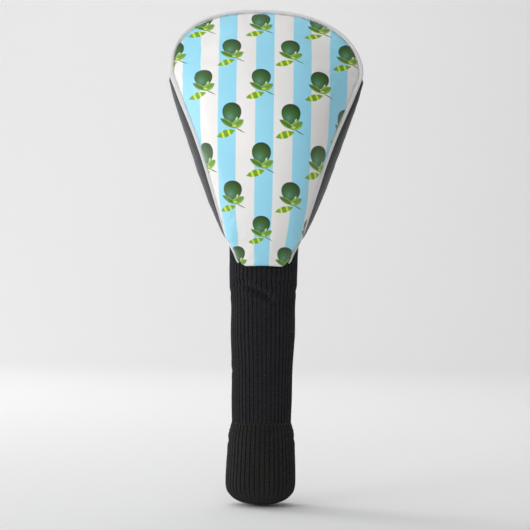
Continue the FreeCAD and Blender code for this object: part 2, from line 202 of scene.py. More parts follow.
def drawPrint(tree):
    # upright stripes with a half-drop of round fruits on leafy stems
    design, inks = printDesign, {name: linearColour(code) for name, code in printInks.items()
                                 if isinstance(code, str)}
    cloth = addNode(tree, "UVMap", uv_map="printPlace").outputs[0]
    split = addNode(tree, "SeparateXYZ", [cloth])
    across, up = split.outputs[0], split.outputs[1]
    fromStripe = addNode(tree, "Math", [across, design["stripeCentre"]], operation="SUBTRACT").outputs[0]
    folded = addNode(tree, "Math", [fromStripe, design["stripePeriod"] / 2], operation="PINGPONG").outputs[0]
    half, soft = design["stripeWidth"] / 2, design["edgeSoftness"]
    stripe = addNode(tree, "MapRange", [folded, half - soft / 2, half + soft / 2, 1, 0]).outputs[0]
    # in every colour mix, socket 0 is the cover, 6 the colour below and 7 the colour laid on it
    layers = {"data_type": "RGBA"}
    colour = addNode(tree, "Mix", {0: stripe, 6: inks["white"], 7: inks["blue"]}, **layers).outputs[2]

    tilted = addNode(tree, "Math", [across, design["rowTilt"], up], operation="MULTIPLY_ADD").outputs[0]
    fromRow = addNode(tree, "Math", [tilted, design["rowStart"]], operation="SUBTRACT").outputs[0]
    rows = addNode(tree, "Math", [fromRow, design["rowSpacing"]], operation="DIVIDE").outputs[0]
    shift = design["cellBelow"] / design["rowSpacing"]
    lifted = addNode(tree, "Math", [rows, shift], operation="ADD").outputs[0]
    row = addNode(tree, "Math", [lifted], operation="FLOOR").outputs[0]
    odd = addNode(tree, "Math", [row, 1.0], operation="PINGPONG").outputs[0]
    high = addNode(tree, "Math", [rows, row], operation="SUBTRACT").outputs[0]
    localUp = addNode(tree, "Math", [high, design["rowSpacing"]], operation="MULTIPLY").outputs[0]
    leant = addNode(tree, "Math", [up, design["columnLean"], across], operation="MULTIPLY_ADD").outputs[0]
    fromFruit = addNode(tree, "Math", [leant, design["fruitCentre"]], operation="SUBTRACT").outputs[0]
    columns = addNode(tree, "Math", [fromFruit, design["cellWidth"]], operation="DIVIDE").outputs[0]
    dropped = addNode(tree, "Math", [odd, 0.5, columns], operation="MULTIPLY_ADD").outputs[0]
    whole = addNode(tree, "Math", [dropped], operation="ROUND").outputs[0]
    part = addNode(tree, "Math", [dropped, whole], operation="SUBTRACT").outputs[0]
    localAcross = addNode(tree, "Math", [part, design["cellWidth"]], operation="MULTIPLY").outputs[0]
    place = addNode(tree, "CombineXYZ", [localAcross, localUp, 0.0]).outputs[0]

    # lower leaf: green ends, two yellow patches, a dark bar between them
    cover, along, side = leafShape(tree, place, *design["looseLeaf"])
    bars = addNode(tree, "Math", [along, design["leafBars"]], operation="MULTIPLY").outputs[0]
    wave = addNode(tree, "Math", [bars], operation="COSINE").outputs[0]
    fade, full = design["barsBetween"]
    right = addNode(tree, "MapRange", [along, fade, full, 0, 1], interpolation_type="SMOOTHSTEP").outputs[0]
    left = addNode(tree, "MapRange", [along, -fade, -full, 0, 1], interpolation_type="SMOOTHSTEP").outputs[0]
    inside = addNode(tree, "Math", [right, left], operation="MULTIPLY").outputs[0]
    patch = addNode(tree, "MapRange", [wave, -0.2, -0.6, 0, 1]).outputs[0]
    yellow = addNode(tree, "Math", [patch, inside], operation="MULTIPLY").outputs[0]
    rim = addNode(tree, "MapRange", [side, 0.15, 0.9, 0.2, 0.0]).outputs[0]
    leaf = addNode(tree, "Mix", {0: rim, 6: inks["looseLeaf"], 7: inks["looseRim"]}, **layers).outputs[2]
    leaf = addNode(tree, "Mix", {0: yellow, 6: leaf, 7: inks["yellow"]}, **layers).outputs[2]
    colour = addNode(tree, "Mix", {0: cover, 6: colour, 7: leaf}, **layers).outputs[2]

    cover = leafShape(tree, place, *design["stem"])[0]
    colour = addNode(tree, "Mix", {0: cover, 6: colour, 7: inks["stem"]}, **layers).outputs[2]

    # fruit: egg outline, pale bloom low on the left, dark rind at the rim
    own = addNode(tree, "Mapping", {
        "Vector": place, "Scale": (*design["fruitSize"], 1)}, vector_type="TEXTURE").outputs[0]
    egg = addNode(tree, "SeparateXYZ", [own])
    pinch = addNode(tree, "Math", [egg.outputs[1], -0.2, 1.0], operation="MULTIPLY_ADD").outputs[0]
    wide = addNode(tree, "Math", [egg.outputs[0], egg.outputs[0]], operation="MULTIPLY").outputs[0]
    pinched = addNode(tree, "Math", [wide, pinch], operation="MULTIPLY").outputs[0]
    tall = addNode(tree, "Math", [egg.outputs[1], egg.outputs[1], pinched], operation="MULTIPLY_ADD").outputs[0]
    fruit = addNode(tree, "MapRange", [tall, 0.95, 1.05, 1, 0]).outputs[0]
    fromBloom = addNode(tree, "VectorMath", [own, design["bloomPlace"]], operation="DISTANCE").outputs[1]
    bloom = addNode(tree, "Math", [fromBloom, design["bloomFade"]], operation="MULTIPLY").outputs[0]
    rind = addNode(tree, "ValToRGB", [bloom])
    ramp = rind.color_ramp
    while len(ramp.elements) < len(printInks["rind"]):
        ramp.elements.new(0.5)
    for element, (position, code) in zip(ramp.elements, printInks["rind"]):
        element.position = position
        element.color = linearColour(code)
    edge = addNode(tree, "MapRange", [tall, 0.78, 1.0, 0, 0.7]).outputs[0]
    skin = addNode(tree, "Mix", {0: edge, 6: rind.outputs[0], 7: inks["rindEdge"]}, **layers).outputs[2]
    colour = addNode(tree, "Mix", {0: fruit, 6: colour, 7: skin}, **layers).outputs[2]

    # the leaves that hold the fruit: a dark one to the left, a bright one to the right
    for name in ("leftLeaf", "rightLeaf"):
        cover, _, side = leafShape(tree, place, *design[name])
        rim = addNode(tree, "MapRange", [side, 0.3, 0.95, 0.0, 1.0]).outputs[0]
        dark, light = map(linearColour, printInks[name])
        leaf = addNode(tree, "Mix", {0: rim, 6: dark, 7: light}, **layers).outputs[2]
        colour = addNode(tree, "Mix", {0: cover, 6: colour, 7: leaf}, **layers).outputs[2]
    for name in ("heart", "fleck"):
        cover = leafShape(tree, place, *design[name])[0]
        colour = addNode(tree, "Mix", {0: cover, 6: colour, 7: inks[name]}, **layers).outputs[2]
    return colour, across, up


def threadWave(tree, place, turn):
    # a smooth wave, one crest for each turn of the thread
    angle = addNode(tree, "Math", [place, turn], operation="MULTIPLY").outputs[0]
    return addNode(tree, "Math", [angle], operation="SINE").outputs[0]


def dressCloth(tree, main, colour, height, strength, depth):
    # the dye and the threads' relief reach the cloth's shader
    bump = addNode(tree, "Bump", {"Strength": strength, "Distance": depth, "Height": height}).outputs[0]
    tree.links.new(colour, main.inputs["Base Color"])
    tree.links.new(bump, main.inputs["Normal"])


def wovenPolyester():
    # plain-woven polyester, dye-sublimated then bonded to foam: flat even colour, a soft low gloss
    material, tree, main = startMaterial("printedWovenPolyester", {
        "Roughness": 0.62, "IOR": 1.5, "Specular IOR Level": 0.35,
        "Sheen Weight": 0.12, "Sheen Roughness": 0.5})
    colour, across, up = drawPrint(tree)
    turn = 2 * math.pi / 0.7        # threads 0.35 mm apart, drawn at twice that to show
    threads = [threadWave(tree, across, turn), threadWave(tree, up, turn)]
    weave = addNode(tree, "Math", threads, operation="MULTIPLY").outputs[0]
    cloth = addNode(tree, "UVMap", uv_map="printPlace").outputs[0]
    cloud = addNode(tree, "TexNoise", {"Vector": cloth, "Scale": 0.05, "Detail": 3.0}).outputs[0]
    value = addNode(tree, "MapRange", [cloud, 0.3, 0.7, 0.965, 1.0]).outputs[0]
    tinted = addNode(tree, "HueSaturation", {"Color": colour, "Value": value}).outputs[0]
    dressCloth(tree, main, tinted, weave, 0.12, 0.0001)
    return material


def ribKnitAcrylic(name, stitchHeight, tint):
    # spun acrylic yarn, machine knitted in two-by-two rib: deep matt black, hairy edges catch a grey light
    material, tree, main = startMaterial(name, {
        "Roughness": 0.88, "IOR": 1.5, "Specular IOR Level": 0.2, "Sheen Weight": 0.12, "Sheen Roughness": 0.4,
        "Sheen Tint": linearColour("#B9BCC4")})
    place = addNode(tree, "UVMap", uv_map="knitPlace").outputs[0]     # ribs round, millimetres down
    split = addNode(tree, "SeparateXYZ", [place])
    wales = addNode(tree, "Math", [split.outputs[0], 2.0], operation="MULTIPLY").outputs[0]
    within = addNode(tree, "Math", [wales], operation="FRACT").outputs[0]
    middle = addNode(tree, "Math", [within, 0.5], operation="SUBTRACT").outputs[0]
    side = addNode(tree, "Math", [middle], operation="ABSOLUTE").outputs[0]
    courses = addNode(tree, "Math", [split.outputs[1], 1 / stitchHeight], operation="MULTIPLY").outputs[0]
    vee = addNode(tree, "Math", [side, 1.3, courses], operation="MULTIPLY_ADD").outputs[0]
    loop = threadWave(tree, vee, 2 * math.pi)
    crown = addNode(tree, "MapRange", [side, 0.15, 0.5, 1.0, 0.0], interpolation_type="SMOOTHSTEP").outputs[0]
    stitch = addNode(tree, "Math", [loop, crown], operation="MULTIPLY").outputs[0]
    body = addNode(tree, "TexCoord").outputs["Object"]
    hair = addNode(tree, "TexNoise", {"Vector": body, "Scale": 1400.0, "Detail": 3.0}).outputs[0]
    height = addNode(tree, "Math", [hair, 0.6, stitch], operation="MULTIPLY_ADD").outputs[0]
    wear = addNode(tree, "TexNoise", {"Vector": body, "Scale": 45.0, "Detail": 4.0}).outputs[0]
    # painted light and shade: stitch crowns painted lighter, stitch hollows darker, following the knit's relief
    paintedStitchLight = addNode(tree, "MapRange", [stitch, -1.0, 1.0, 0.4, 1.7]).outputs[0]
    patch = addNode(tree, "MapRange", [wear, 0.3, 0.7, 0.85, 1.15]).outputs[0]
    fromValley = addNode(tree, "Math", [split.outputs[0], 0.5], operation="PINGPONG").outputs[0]
    paintedGrooveShade = addNode(tree, "MapRange", [fromValley, 0.04, 0.24, 0.25, 1.25]).outputs[0]   # painted shade, darker between ribs
    # random wear patches times the painted stitch light, then the painted shade between ribs
    wearAndPaintedLight = addNode(tree, "Math", [paintedStitchLight, patch], operation="MULTIPLY").outputs[0]
    shade = addNode(tree, "Math", [wearAndPaintedLight, paintedGrooveShade], operation="MULTIPLY").outputs[0]
    dyed = addNode(tree, "HueSaturation", {"Color": linearColour(tint), "Value": shade}).outputs[0]
    dressCloth(tree, main, dyed, height, 0.9, 0.0005)
    return material


def stretchNeoprene():
    # nylon jersey bonded to thin neoprene: black with a soft grey sheen where light grazes it
    material, tree, main = startMaterial("nylonFacedNeoprene", {
        "Roughness": 0.5, "IOR": 1.5, "Specular IOR Level": 0.5, "Sheen Weight": 0.32, "Sheen Roughness": 0.3,
        "Sheen Tint": linearColour("#D5D8DE")})
    place = addNode(tree, "UVMap", uv_map="clothPlace").outputs[0]
    split = addNode(tree, "SeparateXYZ", [place])
    turn = 2 * math.pi / 0.8        # jersey loops 0.5 mm apart, drawn a little coarser to show
    rows, columns = threadWave(tree, split.outputs[1], turn), threadWave(tree, split.outputs[0], turn)
    loops = addNode(tree, "Math", [rows, 0.6, columns], operation="MULTIPLY_ADD").outputs[0]
    cloud = addNode(tree, "TexNoise", {"Vector": place, "Scale": 0.12, "Detail": 4.0}).outputs[0]
    colour = addNode(tree, "Mix", {0: cloud, 6: linearColour("#121214"), 7: linearColour("#1C1C1F")},
                     data_type="RGBA").outputs[2]
    dressCloth(tree, main, colour, loops, 0.35, 0.00015)
    return material


def biasTape():
    # cotton-polyester bias tape, folded round a cord: off-white, its threads run round the cord on the slant
    material, tree, main = startMaterial("whiteBiasTape", {
        "Roughness": 0.7, "IOR": 1.5, "Specular IOR Level": 0.3, "Sheen Weight": 0.15})
    place = addNode(tree, "UVMap", uv_map="tapePlace").outputs[0]
    split = addNode(tree, "SeparateXYZ", [place])
    turn = 2 * math.pi / 0.9        # threads 0.4 mm apart, drawn coarser to show
    heights = []
    for slant in (-1, 1):
        mixed = addNode(tree, "Math", [split.outputs[1], float(slant), split.outputs[0]],
                        operation="MULTIPLY_ADD").outputs[0]
        heights.append(threadWave(tree, mixed, turn))
    weave = addNode(tree, "Math", heights, operation="MULTIPLY").outputs[0]
    cloud = addNode(tree, "TexNoise", {"Vector": place, "Scale": 0.2, "Detail": 3.0}).outputs[0]
    colour = addNode(tree, "Mix", {0: cloud, 6: linearColour("#D3D2D3"), 7: linearColour("#E6E5E5")},
                     data_type="RGBA").outputs[2]
    dressCloth(tree, main, colour, weave, 0.3, 0.00012)
    return material


def softFiller(name, dark, light, grain, depth, roughness, pattern):
    # inner goods: foam cells, fleece pile, tape or yarn, by the size of their grain
    material, tree, main = startMaterial(name, {
        "Roughness": roughness, "IOR": 1.45, "Specular IOR Level": 0.2, "Sheen Weight": 0.2})
    body = addNode(tree, "TexCoord").outputs["Object"]
    scale = 1 / (grain * millimetre)
    texture = addNode(tree, pattern, {"Vector": body, "Scale": scale}).outputs[0]
    colour = addNode(tree, "Mix", {0: texture, 6: linearColour(dark), 7: linearColour(light)},
                     data_type="RGBA").outputs[2]
    dressCloth(tree, main, colour, texture, 0.6, depth * millimetre)
    return material


printedWovenPolyester = wovenPolyester()
tubeKnit = ribKnitAcrylic("blackRibKnitAcrylic", 1.35, "#1E1E21")
cuffKnit = ribKnitAcrylic("blackRibKnitCuff", 1.35, "#1F1E1C")
nylonFacedNeoprene = stretchNeoprene()
whiteBiasTape = biasTape()
# open-cell polyurethane foam, slit from a block: cream, pitted all over
openCellFoam = softFiller("openCellFoam", "#C9C4B2", "#EDE9DB", 0.9, 0.25, 0.9, "TexVoronoi")
# brushed polyester fleece: charcoal, a short soft pile
brushedFleece = softFiller("brushedFleece", "#1B1B1D", "#303034", 0.6, 0.3, 0.95, "TexNoise")
# twisted cotton filler cord: natural, slightly hairy
twistedCotton = softFiller("twistedCotton", "#CFC8B8", "#E9E4D6", 0.4, 0.1, 0.9, "TexNoise")
# woven polyester grosgrain: black, fine cross ribs
grosgrainTape = softFiller("grosgrainTape", "#131315", "#27272A", 0.5, 0.12, 0.7, "TexNoise")
# rubber cord braided over with white polyester
braidedElastic = softFiller("braidedElastic", "#BDBBB4", "#E8E6DF", 0.5, 0.12, 0.6, "TexVoronoi")
# spun polyester sewing thread: black with a slight lustre
spunThread = softFiller("spunThread", "#0A0A0B", "#161618", 0.25, 0.05, 0.7, "TexNoise")
print("materials made")


# Mesh helpers

def addPiece(name, points, faces, material, places=None):
    # places: name -> one (u, v) for each point, or for each face corner
    mesh = bpy.data.meshes.new(name)
    mesh.from_pydata([tuple(p) for p in np.asarray(points) * millimetre], [], [list(f) for f in faces])
    corners = np.zeros(len(mesh.loops), int)
    mesh.loops.foreach_get("vertex_index", corners)
    for layerName, values in (places or {}).items():
        values = np.asarray(values, float)
        layer = mesh.uv_layers.new(name=layerName)
        spread = values if len(values) == len(corners) and len(values) != len(points) else values[corners]
        layer.data.foreach_set("uv", spread.ravel())
    mesh.validate()
    piece = bpy.data.objects.new(name, mesh)
    bpy.context.collection.objects.link(piece)
    mesh.materials.append(material)
    mesh.shade_smooth()
    return piece


def settle(piece):
    # the modifiers' result becomes the mesh
    bpy.context.view_layer.update()
    result = bpy.data.meshes.new_from_object(piece.evaluated_get(bpy.context.evaluated_depsgraph_get()))
    piece.modifiers.clear()
    old = piece.data
    piece.data = result
    bpy.data.meshes.remove(old)
    result.name = piece.name
    result.shade_smooth()


def readPoints(piece):
    flat = np.zeros(len(piece.data.vertices) * 3)
    piece.data.vertices.foreach_get("co", flat)
    return flat.reshape(-1, 3) / millimetre


def readNormals(piece):
    flat = np.zeros(len(piece.data.vertices) * 3)
    piece.data.vertex_normals.foreach_get("vector", flat)
    return flat.reshape(-1, 3)


def writePoints(piece, points):
    piece.data.vertices.foreach_set("co", (points * millimetre).ravel())
    piece.data.update()


def pointPlaces(piece, layerName):
    # a UV layer's value at each point
    mesh = piece.data
    corners = np.zeros(len(mesh.loops), int)
    mesh.loops.foreach_get("vertex_index", corners)
    flat = np.zeros(len(mesh.loops) * 2)
    mesh.uv_layers[layerName].data.foreach_get("uv", flat)
    places = np.zeros((len(mesh.vertices), 2))
    places[corners] = flat.reshape(-1, 2)
    return places


def gridFaces(rowCount, columnCount, wrapRows=False):
    # quads of a tube wound in rows; corners hold unwrapped (row, column)
    faces, corners = [], []
    for row in range(rowCount if wrapRows else rowCount - 1):
        for column in range(columnCount):
            quad = ((row, column), (row + 1, column), (row + 1, column + 1), (row, column + 1))
            faces.append([(r % rowCount) * columnCount + c % columnCount for r, c in quad])
            corners += quad
    return faces, np.array(corners)


def sweepTube(name, path, radii, material, sides=14, closed=False, twist=None):
    # a round run of cloth or thread along a path, with its frames carried along without turning
    path = np.asarray(path, float)
    count = len(path)
    if closed:
        ahead, behind = np.roll(path, -1, axis=0), np.roll(path, 1, axis=0)
    else:
        ahead = np.vstack([path[1:], 2 * path[-1] - path[-2]])
        behind = np.vstack([2 * path[0] - path[1], path[:-1]])
    tangents = ahead - behind
    tangents /= np.linalg.norm(tangents, axis=1)[:, None]
    normal = Vector(tangents[0]).orthogonal().normalized()
    angles = np.arange(sides) * 2 * math.pi / sides
    points = np.zeros((count, sides, 3))
    run = np.concatenate([[0], np.cumsum(np.linalg.norm(np.diff(path, axis=0), axis=1))])
    for i in range(count):
        tangent = Vector(tangents[i])
        normal = (normal - tangent * normal.dot(tangent)).normalized()
        other = tangent.cross(normal)
        ring = np.ones(sides) * radii[i]
        if twist:                                      # strands laid round the cord
            strands, lay, depth = twist
            ring *= 1 + depth * np.abs(np.sin(strands * angles / 2 + run[i] * math.pi * strands / lay))
        offsets = np.outer(np.cos(angles) * ring, normal) + np.outer(np.sin(angles) * ring, other)
        points[i] = path[i] + offsets
    faces, corners = gridFaces(count, sides, closed)
    if closed:
        run = np.append(run, run[-1] + np.linalg.norm(path[0] - path[-1]))
    girth = 2 * math.pi * float(np.mean(radii))
    places = np.stack([run[corners[:, 0]], corners[:, 1] * girth / sides], axis=1)
    if not closed:
        faces += [list(range(sides))[::-1], [(count - 1) * sides + c for c in range(sides)]]
        places = np.vstack([places, np.zeros((2 * sides, 2))])
    return addPiece(name, points.reshape(-1, 3), faces, material, {"tapePlace": places})


# Cloth patches: cut flat, laid on the shell's form

def panelForm(line, seamDepth, low, facing):
    # the form of a front or back: level arcs from seam to seam, with the run up the centre line
    heights = low + (coverForm["top"] - 0.02 - low) * (1 - np.cos(np.linspace(0, math.pi, 900))) / 2
    half, centre = halfWidth(heights), line(heights)
    rise = np.abs(seamDepth(heights) - centre)
    radius = (half ** 2 + rise ** 2) / (2 * rise)
    reach = np.arccos(np.clip((radius - rise) / radius, -1, 1))
    climb = np.concatenate([[0], np.cumsum(np.hypot(np.diff(heights), np.diff(centre)))])
    return {"heights": heights, "centre": centre, "radius": radius, "reach": reach, "climb": climb,
            "facing": facing}


def layOnForm(form, flat):
    # flat (across, up) points to places on the form
    z = np.interp(flat[:, 1], form["climb"], form["heights"])
    radius = np.interp(z, form["heights"], form["radius"])
    centre = np.interp(z, form["heights"], form["centre"])
    turn = flat[:, 0] / radius
    depth = centre + form["facing"] * radius * (1 - np.cos(turn))
    return np.stack([radius * np.sin(turn), depth, z], axis=1)


def cutOutline(form, inset, step):
    # the patch's cut edge, drawn in by inset along the cloth, with even points
    edge = form["radius"] * form["reach"]
    side = np.stack([edge, form["climb"]], axis=1)
    loop = np.vstack([side, side[::-1] * (-1, 1)])
    ahead, behind = np.roll(loop, -1, axis=0), np.roll(loop, 1, axis=0)
    tangent = ahead - behind
    tangent /= np.maximum(np.linalg.norm(tangent, axis=1), 1e-9)[:, None]
    inward = np.stack([-tangent[:, 1], tangent[:, 0]], axis=1)
    inward[0] = inward[-1] = 0
    loop = loop + inward * inset
    loop[:, 1] = np.maximum(loop[:, 1], 0)
    loop = evenPoints(loop, step)
    bottom = evenPoints(np.array([loop[-1], loop[0]]), step)[1:-1]
    return loop, bottom


def cutPatch(form, inset, step):
    # triangles of nearly even size inside the outline
    loop, bottom = cutOutline(form, inset, step)
    border = np.vstack([loop, bottom])
    low, high = border.min(axis=0), border.max(axis=0)
    rows = np.arange(low[1], high[1], step * math.sqrt(3) / 2)
    inner = []
    for i, row in enumerate(rows):
        for place in np.arange(low[0] + (i % 2) * step / 2, high[0], step):
            inner.append((place, row))
    inner = np.array(inner)
    within = np.zeros(len(inner), bool)
    for a, b in zip(border, np.roll(border, -1, axis=0)):
        if a[1] == b[1]:
            continue
        crosses = (a[1] > inner[:, 1]) != (b[1] > inner[:, 1])
        within ^= crosses & (inner[:, 0] < (b[0] - a[0]) * (inner[:, 1] - a[1]) / (b[1] - a[1]) + a[0])
    inner = inner[within]
    tree = edgeTree(border)
    clear = np.array([tree.find((x, y, 0))[2] > 0.6 * step for x, y in inner])
    inner = inner[clear]
    count = len(border)
    everything = [Vector(p) for p in np.vstack([border, inner])]
    edges = [(i, (i + 1) % count) for i in range(count)]
    points, _, faces, *_ = geometry.delaunay_2d_cdt(everything, edges, [], 1, 1e-6)
    flat = np.array([tuple(p) for p in points])
    return flat, [list(f) for f in faces], loop


def edgeTree(points):
    tree = kdtree.KDTree(len(points))
    for i, p in enumerate(points):
        tree.insert((p[0], p[1], 0), i)
    tree.balance()
    return tree


def puffCloth(piece, pinned, cloth):
    # sewn edge held, air pressed behind: the cloth finds its own crown and seam creases
    start, normals = readPoints(piece), readNormals(piece)
    held = piece.vertex_groups.new(name="sewnEdge")
    held.add([int(i) for i in pinned], 1, "REPLACE")
    modifier = piece.modifiers.new("puff", "CLOTH")
    settings = modifier.settings
    settings.quality = 6
    settings.mass = cloth["mass"]
    settings.tension_stiffness = cloth["stretch"]
    settings.compression_stiffness = cloth["stretch"]
    settings.shear_stiffness = cloth["stretch"] / 2
    settings.bending_stiffness = cloth["bending"]
    settings.use_pressure = True
    settings.uniform_pressure_force = cloth["pressure"]
    settings.shrink_min = -cloth["ease"]
    settings.vertex_group_mass = "sewnEdge"
    settings.effector_weights.gravity = 0
    modifier.collision_settings.use_collision = False
    modifier.point_cache.frame_start, modifier.point_cache.frame_end = 1, cloth["frames"]
    for step in range(1, cloth["frames"] + 1):
        bpy.context.scene.frame_set(step)
    settle(piece)
    piece.vertex_groups.clear()
    bpy.context.scene.frame_set(1)
    moved = readPoints(piece) - start
    reach = np.linalg.norm(moved, axis=1)
    moved *= (np.minimum(reach, cloth["cap"]) / np.maximum(reach, 1e-9))[:, None]
    inward = np.minimum((moved * normals).sum(axis=1) + cloth["sink"], 0)
    moved -= normals * inward[:, None]
    writePoints(piece, start + moved)
    print(piece.name, "puffed by at most", round(float(reach.max()), 2), "mm")


def thicken(piece, thickness, levels=0):
    if levels:
        rounding = piece.modifiers.new("round", "SUBSURF")
        rounding.levels = rounding.render_levels = levels
        settle(piece)
    solid = piece.modifiers.new("thick", "SOLIDIFY")
    solid.thickness = thickness * millimetre
    solid.offset = -1
    solid.use_even_offset = False
    settle(piece)


def finish(piece, node, body):
    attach(piece, body)
    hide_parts(node)


printedCloth = {
    "fabric": 1.2, "step": 2.7, "edgeInset": 0.7, "ditchDepth": 1.25, "ditchWidth": 2.3,
    "puckerDepth": 0.22, "puckerReach": 7.0, "puckerLength": 9.0, "easeIn": 1.0, "easeInReach": 16.0,
    "cloth": {"mass": 0.05, "stretch": 40.0, "bending": 1.2, "pressure": 4.0, "ease": 0.008,
              "frames": 20, "cap": 3.0, "sink": 0.4},
    "sideFollow": 0.52, "neck": {"drift": 0.9, "squeeze": 0.22, "between": (165, 220)},
}

frontForm = panelForm(frontLine, frontSeamDepth, coverForm["tongue"], 1)
backForm = panelForm(backLine, backSeamLine, coverForm["backHem"], -1)
forms = {"front": frontForm, "back": backForm}


def printPlaces(form, flat, points):
    # seen from the front the print hangs straight; where the cloth turns to the side it follows the cloth
    radius = np.interp(points[:, 2], form["heights"], form["radius"])
    turn = flat[:, 0] / radius
    limit = math.acos(printedCloth["sideFollow"])
    inner = np.clip(turn, -limit, limit)
    level = radius * (np.sin(inner) + printedCloth["sideFollow"] * (turn - inner))
    level += leaned(points)[:, 0] - points[:, 0]
    neck = printedCloth["neck"]
    drift = neck["drift"] * (1 - smoothStep(points[:, 2], coverForm["tongue"], 225))   # drawn to one side
    squeeze = 1 + neck["squeeze"] * (1 - smoothStep(points[:, 2], *neck["between"]))   # gathered in at the neck
    return np.stack([(level + drift) * squeeze * form["facing"], flat[:, 1]], axis=1)


def sewPrintedPanel(name, form):
    settings = printedCloth
    flat, faces, loop = cutPatch(form, settings["edgeInset"], settings["step"])
    points = layOnForm(form, flat)
    tree = edgeTree(loop)
    near = np.array([tree.find((x, y, 0))[2] for x, y in flat])
    piece = addPiece(name, points, faces, printedWovenPolyester,
                     {"printPlace": printPlaces(form, flat, points), "cutPlace": flat})
    normals = readNormals(piece)
    if normals[np.argmin(np.abs(flat).sum(axis=1) + 1e3 * (near < 20)), 1] * form["facing"] > 0:
        piece.data.flip_normals()
        normals = -normals
    # the pad is thinner beside its seams, so the cloth starts a little low and fills out
    crown = settings["easeIn"] * (1 - np.exp(-(near / settings["easeInReach"]) ** 2))
    writePoints(piece, points - normals * crown[:, None])
    puffCloth(piece, np.where((near < 0.3) | (flat[:, 1] < 0.3))[0], settings["cloth"])
    rounding = piece.modifiers.new("round", "SUBSURF")
    rounding.levels = rounding.render_levels = 1
    settle(piece)
    # seam ditch and the small gathers that stitching draws in beside the piping
    flat = pointPlaces(piece, "cutPlace")
    points, normals = readPoints(piece), readNormals(piece)
    found = [tree.find((x, y, 0)) for x, y in flat]
    near = np.array([f[2] for f in found])
    along = np.array([f[1] for f in found]) * settings["step"]
    ripple = np.array([noise.noise(Vector((a / settings["puckerLength"] * 2, 3.7, 1.1))) for a in along])
    ripple += 0.5 * np.sin(along * 2 * math.pi / settings["puckerLength"])
    sink = settings["ditchDepth"] * np.exp(-(near / settings["ditchWidth"]) ** 2)
    sink += settings["puckerDepth"] * ripple * np.exp(-(near / settings["puckerReach"]) ** 2)
    points = points - normals * sink[:, None]
    writePoints(piece, leaned(points))
    piece.data.uv_layers.remove(piece.data.uv_layers["cutPlace"])
    thicken(piece, settings["fabric"])
    return piece


for side, form in forms.items():
    piece = sewPrintedPanel("printed_" + side, form)
    finish(piece, side + "_panel", "shell")
print("printed panels sewn")

innerLayers = {"foam": (1.55, 3.6, 3.4), "lining": (5.6, 1.4, 3.0)}   # depth of the top face, thickness, inset
for side, form in forms.items():
    for layer, (depth, thickness, inset) in innerLayers.items():
        flat, faces, loop = cutPatch(form, inset, 5.0)
        keep = flat[:, 1] > np.interp(206.0, form["heights"], form["climb"])
        faces = [f for f in faces if all(keep[i] for i in f)]
        used = sorted({i for f in faces for i in f})
        order = {old: new for new, old in enumerate(used)}
        flat = flat[used]
        faces = [[order[i] for i in f] for f in faces]
        points = layOnForm(form, flat)
        material = openCellFoam if layer == "foam" else brushedFleece
        piece = addPiece(side + "_" + ("pad" if layer == "foam" else "fleece"), points, faces, material)
        normals = readNormals(piece)
        if normals[len(normals) // 2, 1] * form["facing"] > 0:
            piece.data.flip_normals()
            normals = -normals
        quilt = 0.25 * np.sin(flat[:, 0] * 0.35) * np.sin(flat[:, 1] * 0.35)   # dents between the glue dots
        writePoints(piece, leaned(points - normals * (depth + 0.3 + quilt)[:, None]))
        thicken(piece, thickness, 1)
        finish(piece, side + "_" + layer, "shell")
print("pads and linings laid")


# Side gussets

gussetCloth = {"fabric": 1.3, "lining": 1.1, "liningDepth": 1.5, "rows": 90, "columns": 26, "tuck": 0.9,
               "pullLines": 0.35, "bulgePower": 0.7, "fullest": 0.95}


def gussetPoints(side, rows, columns, low, depth, tuck):
    # level arcs from the front seam to the back seam
    form = coverForm
    z = low + (form["tip"] - 1.5 - low) * np.sin(np.linspace(0, math.pi / 2, rows))
    share = np.linspace(0, 1, columns)
    fall = (form["tip"] - z) / (form["tip"] - form["hem"])
    half = halfWidth(z)
    front, back = frontSeamDepth(z), backSeamLine(z)
    chord = np.maximum((back - front) / 2, 0.4)
    bulge = form["gussetBulge"] * np.sin(math.pi * fall) ** gussetCloth["bulgePower"]
    rise = np.minimum(form["pipingRadius"] + bulge, gussetCloth["fullest"] * chord)
    radius = (chord ** 2 + rise ** 2) / (2 * rise)
    reach = np.arcsin(np.clip(chord / radius, -1, 1)) * (1 - tuck / np.maximum(chord * 2, 4))
    turn = (2 * share[None, :] - 1) * reach[:, None]
    across = (half + rise - radius)[:, None] + (radius - depth)[:, None] * np.cos(turn)
    depthPlace = ((front + back) / 2)[:, None] + (radius - depth)[:, None] * np.sin(turn)
    run = (radius * reach)[:, None] * (2 * share[None, :] - 1)
    tall = np.broadcast_to(z[:, None], across.shape)
    points = np.stack([side * across, depthPlace, tall], axis=2)
    return points, np.stack([run, tall], axis=2)


def sewGusset(name, side, low, depth, thickness, material):
    settings = gussetCloth
    points, places = gussetPoints(side, settings["rows"], settings["columns"], low, depth, settings["tuck"])
    rows, columns = points.shape[:2]
    # the stretched cloth pulls in soft lines that run from seam to seam
    share = np.linspace(0, 1, columns)[None, :]
    tall = points[:, :, 2]
    pull = np.zeros_like(tall)
    for i in range(rows):
        for j in range(columns):
            pull[i, j] = noise.noise(Vector((tall[i, j] * 0.16 + side * 5, share[0, j] * 1.4, depth)))
    pull *= settings["pullLines"] * np.sin(math.pi * share) ** 0.7
    points[:, :, 0] += side * pull
    faces = []
    for i in range(rows - 1):
        for j in range(columns - 1):
            quad = [i * columns + j, i * columns + j + 1, (i + 1) * columns + j + 1, (i + 1) * columns + j]
            faces.append(quad if side > 0 else quad[::-1])
    piece = addPiece(name, leaned(points.reshape(-1, 3)), faces, material,
                     {"clothPlace": places.reshape(-1, 2)})
    # the flat piece it was cut as: widest run, length down the middle, and area
    run, middle = places[:, :, 0], points[:, columns // 2]
    widest = float(np.ptp(run, axis=1).max()) * millimetre
    length = float(np.linalg.norm(np.diff(middle, axis=0), axis=1).sum()) * millimetre
    area = sum(p.area for p in piece.data.polygons)
    thicken(piece, thickness)
    print(name, "cut", round(widest, 4), "by", round(length, 4), "m, area", round(area, 5))
    return piece, (widest, length), area


